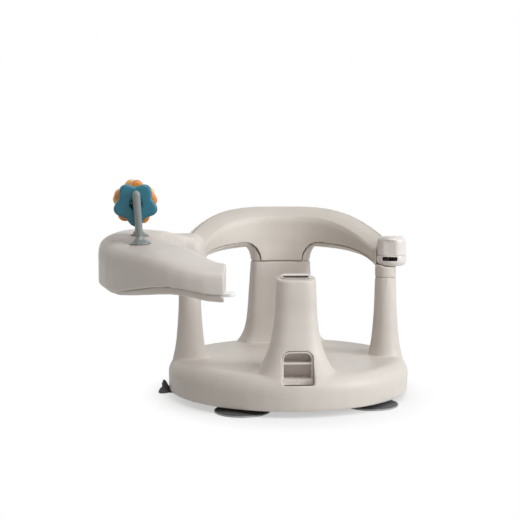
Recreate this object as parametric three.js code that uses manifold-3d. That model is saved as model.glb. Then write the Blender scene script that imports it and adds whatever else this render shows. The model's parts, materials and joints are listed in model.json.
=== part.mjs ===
// Baby bath seat: a round base on suction cups carries two side columns, a broad back column and a
// front pommel. A backrest ring stands on the columns, and a play tray swings on the left column and
// latches on the right one. Millimetres, +Z up. The origin is the centre of the base's underside.
import * as THREE from 'three';
import { mergeVertices } from 'three/addons/utils/BufferGeometryUtils.js';
import Module from 'manifold-3d';

const wasm = await Module();
wasm.setup();

const { abs, asin, atan2, cos, hypot, max, min, sin, sqrt } = Math;
const degree = Math.PI / 180;
const turn = 2 * Math.PI;

// Fits
const gap = 0.3; // air between pieces that touch
const runningGap = 0.8; // air beside a piece that moves past
const wall = 2.6; // moulded wall
const overrun = 2; // how far a cutter passes the face that it cuts

// Facets
const baseSegments = 48;
const coverSegments = 24;
const columnSegments = 24;
const hollowSegments = 12;
const postSegments = 20;
const drumSegments = 28;
const cupSegments = 18;
const screwSegments = 8;
const roundSegments = 16;
const holeSegments = 12;
const columnSteps = 7;
const hollowSteps = 6;
const ringSteps = 28;
const traySteps = 20;

// The columns' reach and the hinge's height set the place of all that stands on the columns
const sideReach = 135; // column axis from the middle
const hingeHeight = 169.7; // thrust face of the tray's hinge
// Beyond the column axis
const reaches = {
  latch: 9, bandOuter: 14, bandInner: -21, bandInnerEnd: -11.4, trayOuter: 23, trayInner: -19.5,
};
// Above the hinge's thrust face
const rises = {
  columnTop: -19.2, backTop: -5.2, bandTop: 75.9, bandLow: 17,
  housingLow: -3.7, housingTop: 10.6, slotMouth: 6.6,
  knobTop: 37, knobWeb: 14.5, guideHead: 30.9, trayCrown: 56.2, trayHingeTop: 43.4, trayEndTop: 40.6,
  seamCrown: -1.1, seamArm: 15.1, seamEnd: 7.3, underside: 0.8, knuckle: 42.8,
  toyTop: 114.3, toyFloor: 51.4, toyAxle: 97.6,
};

// Base: a round dish turned upside down
const baseRadius = 165;
const baseHeight = 42.5;
const baseWall = 3;
const rimReach = 18; // the rim's rounding, inwards
const rimDrop = 20; // the rim's rounding, downwards
const skirtLean = 1; // the skirt draws in towards its lower edge
const rimSteps = 5;

// Side columns
const sideSetback = -5; // column axis, front to back
const sideTopRadius = 14.6;
const sideFlare = 7.4; // growth of the radius down the column
const sideFillet = 2.5; // and at its foot
const sideTop = hingeHeight + rises.columnTop;

// Back column, bent along the ring
const backHalfWidth = 43.8;
const backHalfDepth = 15;
const backFlare = 8;
const backFillet = 13;
const backTop = hingeHeight + rises.backTop;
const neckSetback = 1.2; // its face stands back from the band's inner face by this
const backRadius = sideReach + reaches.bandInner + backHalfDepth + neckSetback;

// Pommel
const pommelTopBack = 163.8; // height of its top at the back
const pommelTopTilt = 8.8 * degree; // the top leans to the front
const pommelFront = -134;
const pommelBack = -96;
const pommelHalfWidth = 25.3;
const pommelFlare = 3;
const pommelFillet = 21;
const pommelFrontFillet = 20;
const pommelBackFillet = 12;

// Slot in the pommel's top
const slotHalfLength = 16.5;
const slotHalfWidth = 4.4;
const slotRimWidth = 2.4;
const slotRimRise = 0.8;
const slotHoodRise = 2.5; // underside of the hood over its back half
const slotHoodThickness = 1.3;
const slotCollarDepth = 7;
const slotShelf = 1.8; // width of the ledge that the bezel rests on

// Window low in the pommel's front
const windowPlane = -142; // the frame's face
const windowHalfWidth = 19.1;
const windowTop = 70.6;
const windowFoot = 28.6; // the frame's lower edge
const windowLip = 32; // front edge of the recess, in the rim
const windowSill = 37; // top of the sill below the lower opening
const windowSillReach = 7; // the sill stands out from the frame
const windowBar = 55.8; // middle of the crossbar
const windowBarHeight = 2.4;
const windowBorder = 1.8;
const windowCorner = 10;
const windowDepth = 21;

// Backrest ring: heights of its edges, and radii, at the back and at the columns
const bandTop = hingeHeight + rises.bandTop;
const bandTopFall = 48.5;
const bandTopPower = 3.8;
const bandLow = hingeHeight + rises.bandLow;
const bandLowFall = 29.6;
const bandLowPower = 2.8;
const bandEnd = 92 * degree;
const bandInner = sideReach + reaches.bandInner;
const bandInnerEnd = sideReach + reaches.bandInnerEnd;
const bandOuter = sideReach + reaches.bandOuter;
const linerEnd = 84 * degree;
const linerLipRise = 7; // the liner's lower edge above the band's
const neckFillet = 20; // corner between the band and its neck
const linerNeckHalfWidth = 30;
const linerNeckFillet = 26;
const spigotLength = 12;

// Section of the band, from its lower inner edge up the inside, over the top and down the outside:
// shares of its width and of its height
const bandInsideShares = [
  [0.02, 0.12], [0, 0.3], [0, 0.64], [0.07, 0.75], [0.32, 0.87], [0.62, 0.96], [0.8, 1],
];
const bandOutsideShares = [
  [0.94, 0.98], [1, 0.92], [1, 0.75], [0.95, 0.35], [0.88, 0.1], [0.75, 0], [0.25, 0],
];

// Latch head on the right column
const latchX = sideReach + reaches.latch;
const latchY = -2;
const latchHeading = 19.8 * degree; // its face turns from the front towards the middle
const housingRadius = 20.6;
const housingLow = hingeHeight + rises.housingLow;
const housingFoot = 13;
const housingTop = hingeHeight + rises.housingTop;
const housingWall = 2;
const housingBowl = 7.4; // height of its rounded lower part
const housingSpigotRadius = 5;
const housingSpigotLength = 8;
const slotMouthMiddle = hingeHeight + rises.slotMouth;
const slotMouthHeight = 5.6;
const slotMouthWidth = 20.6;
const knobRadius = 19.8;
const knobWall = 3.8;
const knobFlat = 17.4; // distance of the knob's flat face from its axis
const knobFlatHalfWidth = 10;
const knobFlatDrop = 5; // the flat face ends below the knob's top
const knobRound = 7; // rounding of its top edge
const knobTop = hingeHeight + rises.knobTop;
const knobWebHeight = hingeHeight + rises.knobWeb;
const knobWebThickness = 2.2;
const knobLip = 1.2;
const capRadius = 12.2;
const capThickness = 2;
const capLedge = 1.5;
const guideRadius = 2.4;
const guideHeadRadius = 6;
const guideHeadHeight = 1.8;
const guideHeadTop = hingeHeight + rises.guideHead;
const springRadius = 4.3;
const springWire = 0.65;
const springTurns = 5;
const springSteps = 8;
const springSides = 5;

// Hinge on the left column; its axis leans, so that the open tray droops towards its free end
const hingeLeanX = -0.0353;
const hingeLeanY = -0.0394;
const hingePinRadius = 5;
const hingePinRise = 30;
const hingePinSink = 13;
const hingeHeadRadius = 8;
const hingeBossWall = 3.2;
const washerRadius = 12;
const washerThickness = 1;
const openAngle = 77.7 * degree;

// Tray, as it lies closed
const trayOuterX = sideReach + reaches.trayOuter;
const trayOuterY = 137.8;
const trayInnerX = sideReach + reaches.trayInner;
const trayInnerY = 57;
const trayCrown = hingeHeight + rises.trayCrown; // top at the front
const trayHingeTop = hingeHeight + rises.trayHingeTop; // and at the hinge
const trayEndTop = hingeHeight + rises.trayEndTop; // and at the free end
const trayEndTurn = 3 * degree; // the end face turns away from the latch's by this
const trayWall = 2.4;
const seamCrown = hingeHeight + rises.seamCrown; // lower edge of the upper shell, outside, at the front
const seamArm = hingeHeight + rises.seamArm; // and half way along each arm
const seamEnd = hingeHeight + rises.seamEnd;
const seamRiseStart = 0.23; // shares of the way from the front to either end
const seamRiseEnd = 0.72;
const crownFallStart = 0.42;
const outerFall = 3.6; // the top's outer side lies lower by this along the free arm
const outerFallGrowth = 0.16;
const fallStart = 0.25;
const fallEnd = 0.8;
const lipHeight = 4.8; // the cover's rim below that edge, at the front
const lipGrowth = 4; // and more along the arms
const lipGrowthStart = 0.3;
const lipGrowthEnd = 0.65;
const lipInset = 4;
const lipWidth = 3.2;
const undersideLow = hingeHeight + rises.underside; // lowest face of the cover's plate
const knuckleRadius = 23.3;
const knuckleTop = hingeHeight + rises.knuckle;
const knuckleCrown = 19; // height of its rounded top
const tongueHalfWidth = 7.2;
const tongueThickness = 4.2;
const tongueReach = 11.5;
const tongueRoot = 20;
const tongueMiddle = slotMouthMiddle;
const trayScrewRadius = 3.2;

// Section of the tray's upper shell, from its inner lower edge over the top to the outer wall:
// shares of the width, and drops from the top as shares of the crown's thickness
const crownThickness = 56;
const trayTopShares = [
  [0, 0.15], [0.02, 0.09], [0.08, 0.062], [0.2, 0.054], [0.5, 0.046], [0.66, 0.038], [0.76, 0.042],
  [0.84, 0.066], [0.91, 0.105], [0.958, 0.165], [0.988, 0.25], [1, 0.38],
];

// Toy on the tray: two posts, an axle and four flowers
const toyX = 4;
const toyY = -95.4;
const toyTurn = -7.5 * degree;
const toySpan = 70;
const toyLean = 4.3 * degree; // away from the child
const toyPostRadius = 4.9;
const toyPostFoot = 4.1;
const toyPostTop = hingeHeight + rises.toyTop;
const toyFootRadius = 13;
const toyFloor = hingeHeight + rises.toyFloor; // the tray's top under the toy
const toyPlateHeight = 2.1;
const toyFootHeight = 7;
const toyStudRadius = 3;
const toyStudLength = 9;
const toyNutRadius = 5.5;
const toyNutHeight = 3.5;
const toyAxleHeight = hingeHeight + rises.toyAxle;
const toyAxleOffset = -1.5; // from the posts' middle
const toyAxleRadius = 4.4;
const toyPinRadius = 1.5; // at its ends, in the posts
const flowerRadius = 26.4;
const flowerValley = 20.4;
const flowerCount = 4;
const flowerRoom = toySpan - 2 * toyPostRadius;
const flowerGap = 2.05;
const flowerThickness = flowerRoom / flowerCount - flowerGap;
const flowerBevel = 2.6;
const flowerLobes = 5;
const flowerPoints = 40;
const flowerRoundness = 0.95; // below 1 its petals are broad and its valleys narrow
const flowerBore = 5.2;

// Suction cups: place round the base's axis, and the turn of each pull tab
const cupRadius = 36;
const cupDrop = 8.5; // base underside above the floor
const cupCircle = 137.3;
const cupAngles = [-119.8, -43.2, 26, 98, 170];
// Each pull tab: its root's angle on the cup, and its own sweep, lift and roll, in degrees
const cupTabs = [[60, 0, 2, 0], [130, 0, 2, 0], [26, 0, 2, 0], [98, 0, 2, 0], [225, -30, 28, 75]];
const cupRimWidth = 3;
const cupRimHeight = 2.6;
const cupHollow = 3.6;
const cupNeckRadius = 6;
const cupHeadRadius = 8;
const cupHeadHeight = 4;
const cupShoulder = 16;
const tabLength = 20;
const tabHalfWidths = [5, 5.5, 7, 9, 10.5, 10]; // from its root to its tail
const tabNotch = 2.2;
const tabThickness = 2.2;

// Underside cover and its screws
const coverThickness = 3;
const coverScrewCircle = 96;
const coverScrews = 5;
const coverScrewTurn = 18 * degree;
const screwHeadRadius = 3.6;
const screwHeadHeight = 1.8;
const screwShankRadius = 1.5;
const screwLength = 14;
const bossRadius = 5;

// Colours: warm grey plastic, grey rubber and the toy's plastics
const plastics = {
  shell: [0xc9c0b8, 0.45], liner: [0xcbc2ba, 0.45], tray: [0xc8bfb8, 0.42], cover: [0xb5aca4, 0.5],
  frame: [0xcfc8c1, 0.4], tongue: [0xe6e4e2, 0.35], rubber: [0x6d6e70, 0.7], grey: [0x8d979b, 0.5],
  teal: [0x2c7480, 0.45], orange: [0xe0842f, 0.45], yellow: [0xe9bf4a, 0.45], red: [0xc9483c, 0.45],
};
const steel = new THREE.MeshStandardMaterial({ color: 0xb9bcbe, roughness: 0.3, metalness: 1 });

function plastic(name) {
  const [color, roughness] = plastics[name];
  return new THREE.MeshStandardMaterial({ color, roughness, metalness: 0 });
}

// Geometry helpers

function signedVolume(position, triangles) {
  const [a, b, c] = [new THREE.Vector3(), new THREE.Vector3(), new THREE.Vector3()];
  let volume = 0;
  for (let i = 0; i < triangles.length; i += 3) {
    a.fromArray(position, 3 * triangles[i]);
    b.fromArray(position, 3 * triangles[i + 1]);
    c.fromArray(position, 3 * triangles[i + 2]);
    volume += a.dot(b.cross(c)) / 6;
  }
  return volume;
}

// A solid that can be joined and cut, from a closed geometry
function solid(geometry) {
  const bare = geometry.clone();
  bare.deleteAttribute('normal');
  bare.deleteAttribute('uv');
  const merged = mergeVertices(bare);
  const position = merged.attributes.position.array;
  const triangles = [];
  for (let i = 0; i < merged.index.count; i += 3) {
    const [a, b, c] = [0, 1, 2].map((k) => merged.index.getX(i + k));
    if (a !== b && b !== c && c !== a) triangles.push(a, b, c);
  }
  if (signedVolume(position, triangles) < 0) triangles.reverse();
  const mesh = new wasm.Mesh({
    numProp: 3,
    vertProperties: new Float32Array(position),
    triVerts: new Uint32Array(triangles),
  });
  return new wasm.Manifold(mesh);
}

function geometryOf(body) {
  const mesh = body.getMesh();
  const geometry = new THREE.BufferGeometry();
  geometry.setAttribute('position', new THREE.BufferAttribute(new Float32Array(mesh.vertProperties), 3));
  geometry.setIndex(new THREE.BufferAttribute(new Uint32Array(mesh.triVerts), 1));
  geometry.computeVertexNormals();
  return geometry;
}

function union(bodies) {
  return bodies.reduce((whole, body) => whole.add(body));
}

function cut(body, cutters) {
  return cutters.reduce((rest, cutter) => rest.subtract(cutter), body);
}

// The triangles of one flat ring of points, turning the way that the ring does
function capOf(ring) {
  const normal = new THREE.Vector3();
  ring.forEach((p, i) => {
    const q = ring[(i + 1) % ring.length];
    normal.x += (p.y - q.y) * (p.z + q.z);
    normal.y += (p.z - q.z) * (p.x + q.x);
    normal.z += (p.x - q.x) * (p.y + q.y);
  });
  normal.normalize();
  const across = new THREE.Vector3(normal.y, normal.z, normal.x).cross(normal).normalize();
  const along = normal.clone().cross(across);
  const flat = ring.map((p) => new THREE.Vector2(p.dot(across), p.dot(along)));
  return THREE.ShapeUtils.triangulateShape(flat, []).map(([a, b, c]) => {
    const area = flat[b].clone().sub(flat[a]).cross(flat[c].clone().sub(flat[a]));
    return area > 0 ? [a, b, c] : [a, c, b];
  });
}

// A solid through rings of points, all with the same count; wrapped rings join end to start
function loft(rings, wrapped = false) {
  const count = rings[0].length;
  const triangles = [];
  const spans = wrapped ? rings.length : rings.length - 1;
  for (let i = 0; i < spans; i += 1) {
    const low = i * count;
    const high = ((i + 1) % rings.length) * count;
    for (let j = 0; j < count; j += 1) {
      const k = (j + 1) % count;
      triangles.push(low + j, low + k, high + k, low + j, high + k, high + j);
    }
  }
  if (!wrapped) {
    const last = (rings.length - 1) * count;
    capOf(rings[0]).forEach(([a, b, c]) => triangles.push(a, c, b));
    capOf(rings[rings.length - 1]).forEach(([a, b, c]) => triangles.push(last + a, last + b, last + c));
  }
  const geometry = new THREE.BufferGeometry();
  const values = rings.flat().flatMap((point) => point.toArray());
  geometry.setAttribute('position', new THREE.Float32BufferAttribute(values, 3));
  geometry.setIndex(triangles);
  return solid(geometry);
}

// A turned solid about the Z axis; the outline's points are [radius, height]
function turned(outline, segments = roundSegments) {
  const points = outline.map(([radius, height]) => new THREE.Vector2(radius, height));
  return solid(new THREE.LatheGeometry(points, segments).rotateX(turn / 4));
}

function disc(radius, low, high, segments = roundSegments) {
  return turned([[0, low], [radius, low], [radius, high], [0, high]], segments);
}

function hoop(inner, outer, low, high, segments = roundSegments) {
  return turned([[inner, low], [outer, low], [outer, high], [inner, high], [inner, low]], segments);
}

function box(x0, x1, y0, y1, z0, z1) {
  const geometry = new THREE.BoxGeometry(x1 - x0, y1 - y0, z1 - z0);
  return solid(geometry.translate((x0 + x1) / 2, (y0 + y1) / 2, (z0 + z1) / 2));
}

// A flat outline pushed up from one height to another
function slab(shape, low, high) {
  const options = { depth: high - low, bevelEnabled: false, curveSegments: 6 };
  const geometry = new THREE.ExtrudeGeometry(shape, options);
  return solid(geometry.translate(0, 0, low));
}

// A solid moved by a matrix
function moved(body, matrix) {
  return solid(geometryOf(body).applyMatrix4(matrix));
}

function shifted(body, x, y, z) {
  return moved(body, new THREE.Matrix4().makeTranslation(x, y, z));
}

function rotatedAbout(body, angle, x, y) {
  const matrix = new THREE.Matrix4().makeTranslation(x, y, 0);
  matrix.multiply(new THREE.Matrix4().makeRotationZ(angle));
  return moved(body, matrix);
}

// Counted steps from 0 to 1
function steps(count) {
  return Array.from({ length: count + 1 }, (_, i) => i / count);
}

const seat = new THREE.Group();
const tray = new THREE.Group();
seat.add(tray);

function addPiece(name, body, material, group = seat) {
  const mesh = new THREE.Mesh(geometryOf(body), material);
  mesh.name = name;
  group.add(mesh);
}

// Base

function rimPoints(inset, count) {
  return steps(count).map((share) => {
    const angle = (share * turn) / 4;
    const radius = baseRadius - rimReach + (rimReach - inset) * sin(angle);
    return [radius, baseHeight - rimDrop + (rimDrop - inset) * cos(angle)];
  });
}

function dishOutside() {
  const rim = rimPoints(0, rimSteps);
  return turned([[0, baseHeight], ...rim, [baseRadius - skirtLean, 0], [0, 0]], baseSegments);
}

function dishInside() {
  const low = [baseRadius - skirtLean - baseWall, -overrun];
  const rim = rimPoints(baseWall, 2).reverse();
  return turned([[0, -overrun], low, ...rim, [0, baseHeight - baseWall]], coverSegments);
}

// How far down a column a height lies: 0 at its top, 1 at the base's top face
function down(height, top) {
  return min(1, (top - height) / (top - baseHeight));
}

function roundedRing(halfWidth, halfDepth, squareness, count) {
  return Array.from({ length: count }, (_, i) => {
    const angle = (i / count) * turn;
    const [c, s] = [cos(angle), sin(angle)];
    const power = 2 / squareness;
    return [halfWidth * Math.sign(c) * abs(c) ** power, halfDepth * Math.sign(s) * abs(s) ** power];
  });
}

function columnHeights(top, foot, count) {
  return steps(count).map((share) => top - (top - foot) * sin((share * turn) / 4) ** (2 / 3));
}

function sideColumn(side, inset) {
  const foot = baseHeight - rimDrop / 2;
  const [top, low, count] = inset
    ? [sideTop + overrun, foot - overrun, hollowSteps] : [sideTop, foot, columnSteps];
  return loft(columnHeights(top, low, count).map((height) => {
    const share = max(0, down(height, sideTop));
    const radius = sideTopRadius + sideFlare * share ** 2 + sideFillet * share ** 16 - inset;
    return roundedRing(radius, radius, 2, inset ? hollowSegments : postSegments).map(
      ([u, v]) => new THREE.Vector3(side * sideReach + u, sideSetback + v, height),
    );
  }));
}

// A point of a section that bends round the base's axis, u to the side and v outwards
function bent(u, v, radius, height) {
  const angle = u / radius;
  return new THREE.Vector3((radius + v) * sin(angle), (radius + v) * cos(angle), height);
}

function backColumn(inset) {
  const foot = baseHeight - baseWall / 2;
  const [top, low, rows] = inset
    ? [backTop + overrun, foot - overrun, hollowSteps] : [backTop, foot, columnSteps];
  return loft(columnHeights(top, low, rows).map((height) => {
    const share = max(0, down(height, backTop));
    const fillet = share ** 9;
    const halfWidth = backHalfWidth + backFlare * share + backFillet * fillet - inset;
    const halfDepth = backHalfDepth + (backFlare / 2) * share + (backFillet / 3) * fillet - inset;
    const count = inset ? hollowSegments : columnSegments;
    return roundedRing(halfWidth, halfDepth, 4, count).map(([u, v]) => bent(u, v, backRadius, height));
  }));
}

function pommelSection(height, inset) {
  const share = max(0, down(height, pommelTopBack));
  const fillet = share ** 4;
  const halfWidth = pommelHalfWidth + pommelFlare * share + pommelFillet * fillet - inset;
  const front = pommelFront - pommelFlare * share - pommelFrontFillet * fillet + inset;
  const back = pommelBack + pommelFlare * share + pommelBackFillet * fillet - inset;
  return { halfWidth, front, back };
}

function pommelBody(inset) {
  const foot = baseHeight - baseWall / 2;
  const [top, low, count] = inset
    ? [pommelTopBack, foot - overrun, hollowSteps] : [pommelTopBack + overrun, foot, columnSteps];
  const body = loft(columnHeights(top, low, count).map((height) => {
    const { halfWidth, front, back } = pommelSection(height, inset);
    return roundedRing(halfWidth, (back - front) / 2, 2.8, inset ? hollowSegments : columnSegments).map(
      ([u, v]) => new THREE.Vector3(u, (front + back) / 2 + v, height),
    );
  }));
  return body.subtract(abovePommel(-inset));
}

// Everything above the pommel's leaning top, raised by a distance along its normal
function abovePommel(rise) {
  const reach = 3 * pommelHalfWidth;
  const block = box(-reach, reach, -reach, reach, rise, reach);
  return moved(block, pommelTopFrame());
}

// The frame on the pommel's top: its middle, with Z square to the face
function pommelTopFrame() {
  const middle = (pommelFront + pommelBack) / 2;
  const height = pommelTopBack - (pommelBack - middle) * Math.tan(pommelTopTilt);
  const matrix = new THREE.Matrix4().makeTranslation(0, middle, height);
  return matrix.multiply(new THREE.Matrix4().makeRotationX(pommelTopTilt));
}

function stadium(halfLength, halfWidth) {
  const shape = new THREE.Shape();
  const straight = halfLength - halfWidth;
  shape.absarc(straight, 0, halfWidth, -turn / 4, turn / 4, false);
  shape.absarc(-straight, 0, halfWidth, turn / 4, (3 * turn) / 4, false);
  return shape;
}

// The window's outline, seen from the front, with its upper corners rounded
function windowShape(halfWidth, low, high, corner) {
  const shape = new THREE.Shape();
  shape.moveTo(-halfWidth, low);
  shape.lineTo(halfWidth, low);
  shape.lineTo(halfWidth, high - corner);
  if (corner > 0) shape.absarc(halfWidth - corner, high - corner, corner, 0, turn / 4, false);
  if (corner > 0) shape.absarc(-halfWidth + corner, high - corner, corner, turn / 4, turn / 2, false);
  if (corner === 0) shape.lineTo(-halfWidth, high);
  return shape;
}

// A front outline pushed back from one depth to another
function frontSlab(shape, front, back) {
  const body = slab(shape, -back, -front);
  return moved(body, new THREE.Matrix4().makeRotationX(turn / 4));
}

function windowInsert() {
  const back = windowPlane + windowDepth;
  const front = windowShape(windowHalfWidth, windowFoot, windowTop, windowCorner);
  const block = frontSlab(front, windowPlane, back);
  const inner = windowHalfWidth - windowBorder;
  const sillHalf = windowHalfWidth - gap;
  const sill = box(-sillHalf, sillHalf, windowPlane - windowSillReach, windowPlane + windowBorder,
    windowFoot + windowBorder, windowSill);
  const barLow = windowBar - windowBarHeight / 2;
  const barHigh = windowBar + windowBarHeight / 2;
  const corner = windowCorner - windowBorder;
  const upper = windowShape(inner, barHigh, windowTop - windowBorder, corner);
  const lower = windowShape(inner, windowSill, barLow, 0);
  const pockets = [upper, lower].map(
    (shape) => frontSlab(shape, windowPlane - overrun, back - windowBorder),
  );
  return cut(block.add(sill), pockets);
}

// The block round the frame's recess, and the recess itself; its floor rises towards the rim's edge
function recessBlock() {
  const grow = gap + wall;
  const outline = windowShape(windowHalfWidth + grow, windowFoot - grow, windowTop + grow, windowCorner);
  return frontSlab(outline, -baseRadius, windowPlane + windowDepth + gap + wall);
}

function recess() {
  const low = windowFoot - gap;
  const outline = windowShape(windowHalfWidth + gap, low, windowTop + gap, windowCorner);
  const hole = frontSlab(outline, -baseRadius - overrun, windowPlane + windowDepth + gap);
  const rampEnd = windowPlane - windowSillReach - gap;
  const slope = (windowLip - low) / (rampEnd - (rimReach / 4 - baseRadius));
  const front = -baseRadius - overrun;
  const side = new THREE.Shape();
  side.moveTo(rampEnd, low);
  side.lineTo(front, low + slope * (rampEnd - front));
  side.lineTo(front, low - overrun);
  side.lineTo(rampEnd, low - overrun);
  const reach = windowHalfWidth + overrun;
  const ramp = moved(slab(side, -reach, reach), sideways());
  return hole.subtract(ramp);
}

// Takes a side view, drawn with Y to the right and Z up, to its place
function sideways() {
  const [x, y, z] = [new THREE.Vector3(1, 0, 0), new THREE.Vector3(0, 1, 0), new THREE.Vector3(0, 0, 1)];
  return new THREE.Matrix4().makeBasis(y, z, x);
}

function cupPlace(index) {
  const angle = cupAngles[index] * degree;
  return [cupCircle * cos(angle), cupCircle * sin(angle)];
}

function coverScrewPlace(index) {
  const angle = coverScrewTurn + (index / coverScrews) * turn;
  return [coverScrewCircle * cos(angle), coverScrewCircle * sin(angle)];
}

function eachCoverScrew(make) {
  return Array.from({ length: coverScrews }, (_, i) => shifted(make(), ...coverScrewPlace(i), 0));
}

function baseShell() {
  const sides = [-1, 1];
  const columns = [...sides.map((side) => sideColumn(side, 0)), backColumn(0), pommelBody(0)];
  const outside = dishOutside();
  const pocket = recessBlock().intersect(outside.add(pommelBody(0)));
  const hollows = [...sides.map((side) => sideColumn(side, wall)), backColumn(wall), pommelBody(wall)];
  const bossTop = baseHeight - baseWall / 2;
  const bosses = eachCoverScrew(() => disc(bossRadius, coverThickness + gap, bossTop, screwSegments));
  const pilot = screwShankRadius + gap;
  const pilots = eachCoverScrew(() => disc(pilot, -overrun, screwLength + overrun, 8));
  const seat = slotRimWidth - slotShelf;
  const collar = slab(stadium(slotHalfLength + seat, slotHalfWidth + seat),
    -slotCollarDepth - overrun, overrun);
  const top = moved(collar, pommelTopFrame());
  const shell = cut(union([outside.subtract(dishInside()), ...columns]), hollows);
  return cut(union([shell, ...bosses, pocket]), [...pilots, recess(), top]);
}

function slotBezel() {
  const border = stadium(slotHalfLength + slotRimWidth, slotHalfWidth + slotRimWidth);
  const rim = slab(border, gap, gap + slotRimRise);
  const lip = slotRimWidth - slotShelf - gap;
  const high = gap + slotRimRise / 2;
  const collar = slab(stadium(slotHalfLength + lip, slotHalfWidth + lip), -slotCollarDepth, high);
  const mouth = stadium(slotHalfLength - lip, slotHalfWidth - lip / 2);
  const slot = slab(mouth, -slotCollarDepth - overrun, slotHoodRise);
  const top = slotHoodRise + slotHoodThickness;
  const reach = slotHalfLength + 2 * slotRimWidth;
  const front = box(-reach, reach, -reach, -slotRimWidth / 2, gap + slotRimRise, top + overrun);
  const hood = slab(border, gap, top).subtract(front);
  return moved(rim.add(collar).add(hood).subtract(slot), pommelTopFrame());
}

function undersideCover() {
  const plate = disc(baseRadius - skirtLean - baseWall - gap, 0, coverThickness, coverSegments);
  const stem = disc(cupNeckRadius + gap, -overrun, coverThickness + overrun, 16);
  const stems = cupAngles.map((_, i) => shifted(stem, ...cupPlace(i), 0));
  const shanks = eachCoverScrew(() => disc(screwShankRadius + gap, -overrun, coverThickness + overrun, 8));
  const heads = eachCoverScrew(() => disc(screwHeadRadius + gap, -overrun, screwHeadHeight + gap, 12));
  return cut(plate, [...stems, ...shanks, ...heads]);
}

function screw(headRadius, headHeight, shankRadius, length) {
  return turned([[0, 0], [headRadius * 0.9, 0], [headRadius, headHeight / 3], [headRadius, headHeight],
    [shankRadius, headHeight], [shankRadius, length - shankRadius], [0, length]], screwSegments);
}

// The tab leaves the cup's rim, rises and twists; its tail has a notch
function pullTab(index) {
  const [root, sweep, lift, roll] = cupTabs[index].map((value) => value * degree);
  const count = tabHalfWidths.length - 1;
  const corners = [[-1, -1], [1, -1], [1, 1], [-1, 1]];
  const strip = loft(tabHalfWidths.map((half, i) => {
    const twist = new THREE.Matrix4().makeRotationX((-roll * i) / count);
    return corners.map(([u, v]) => {
      const corner = new THREE.Vector3(0, u * half, (v * tabThickness) / 2).applyMatrix4(twist);
      return corner.setX((tabLength * i) / count);
    });
  }));
  const end = new THREE.Matrix4().makeTranslation(tabLength, 0, 0);
  end.multiply(new THREE.Matrix4().makeRotationX(-roll));
  end.multiply(new THREE.Matrix4().makeRotationZ(turn / 8));
  const notch = moved(box(-tabNotch, tabNotch, -tabNotch, tabNotch, -tabNotch, tabNotch), end);
  const frame = new THREE.Matrix4().makeRotationZ(root);
  const rise = gap + tabThickness / 2;
  frame.multiply(new THREE.Matrix4().makeTranslation(cupRadius - cupRimWidth, 0, rise - cupDrop));
  frame.multiply(new THREE.Matrix4().makeRotationZ(sweep));
  frame.multiply(new THREE.Matrix4().makeRotationY(-lift));
  return moved(strip.subtract(notch), frame);
}

function suctionCup(index) {
  const floor = -cupDrop;
  const head = coverThickness + gap;
  const body = turned([
    [0, floor + cupHollow], [cupRadius - cupRimWidth, floor], [cupRadius, floor],
    [cupRadius, floor + cupRimHeight], [cupShoulder, -2 * gap - coverThickness / 2],
    [cupHeadRadius, -gap], [cupNeckRadius, -gap], [cupNeckRadius, head], [cupHeadRadius, head],
    [cupHeadRadius, head + cupHeadHeight / 3], [cupNeckRadius, head + cupHeadHeight],
    [0, head + cupHeadHeight],
  ], cupSegments);
  return shifted(body.add(pullTab(index)), ...cupPlace(index), 0);
}

// Backrest ring

function bandEdges(angle) {
  const side = abs(angle);
  const top = bandTop - bandTopFall * sin(side) ** bandTopPower;
  const low = bandLow - bandLowFall * (side / bandEnd) ** bandLowPower;
  const share = min(1, side / bandEnd) ** 3;
  const inner = bandInner + (bandInnerEnd - bandInner) * share;
  const outer = bandOuter + (sideReach + sideTopRadius - bandOuter) * share;
  return { top, low, inner, outer };
}

function bandPoint(angle, [across, up]) {
  const { top, low, inner, outer } = bandEdges(angle);
  return [inner + (outer - inner) * across, low + (top - low) * up];
}

function around(angle, [radius, height]) {
  return new THREE.Vector3(radius * sin(angle), radius * cos(angle), height);
}

// A line of points moved square to itself, to its right
function offsetLine(points, distance, closed) {
  return points.map(([x, y], i) => {
    const before = points[closed ? (i + points.length - 1) % points.length : max(0, i - 1)];
    const after = points[closed ? (i + 1) % points.length : min(points.length - 1, i + 1)];
    const length = hypot(after[0] - before[0], after[1] - before[1]);
    const [right, up] = [after[0] - before[0], after[1] - before[1]];
    return [x + (up / length) * distance, y - (right / length) * distance];
  });
}

function bandSection(angle, inset) {
  const section = [...bandInsideShares, ...bandOutsideShares].map((shares) => bandPoint(angle, shares));
  return inset ? offsetLine(section, inset, true).filter((_, i) => i % 2 === 1) : section;
}

function bandBody(inset) {
  const stations = steps(inset ? ringSteps / 2 : ringSteps);
  return loft(stations.map((share) => {
    const angle = (2 * share - 1) * bandEnd;
    return bandSection(angle, inset).map((point) => around(angle, point));
  }));
}

// The neck below the band widens into it through a rounded corner
function neckBody(inset) {
  const foot = backTop + gap;
  const rise = bandLow + neckFillet / 4 - foot;
  const extra = inset ? overrun : 0;
  return loft(steps(6).map((share) => {
    const widening = neckFillet * (1 - sqrt(1 - share ** 2));
    return roundedRing(backHalfWidth + widening - inset, backHalfDepth - inset, 4, columnSegments).map(
      ([u, v]) => bent(u, v, backRadius, foot - extra + (rise + extra) * share),
    );
  }));
}

// Height of the liner's lower edge: along the band, and down round the neck's corner
function linerLow(angle) {
  const along = abs(angle) * bandInner;
  const { low } = bandEdges(angle);
  const edge = low + linerLipRise;
  const seam = backTop + gap;
  if (along <= linerNeckHalfWidth) return seam;
  const reach = linerNeckFillet + linerNeckHalfWidth - along;
  if (reach <= 0) return edge;
  return seam + (edge - seam) * sqrt(1 - (reach / linerNeckFillet) ** 2);
}

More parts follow.
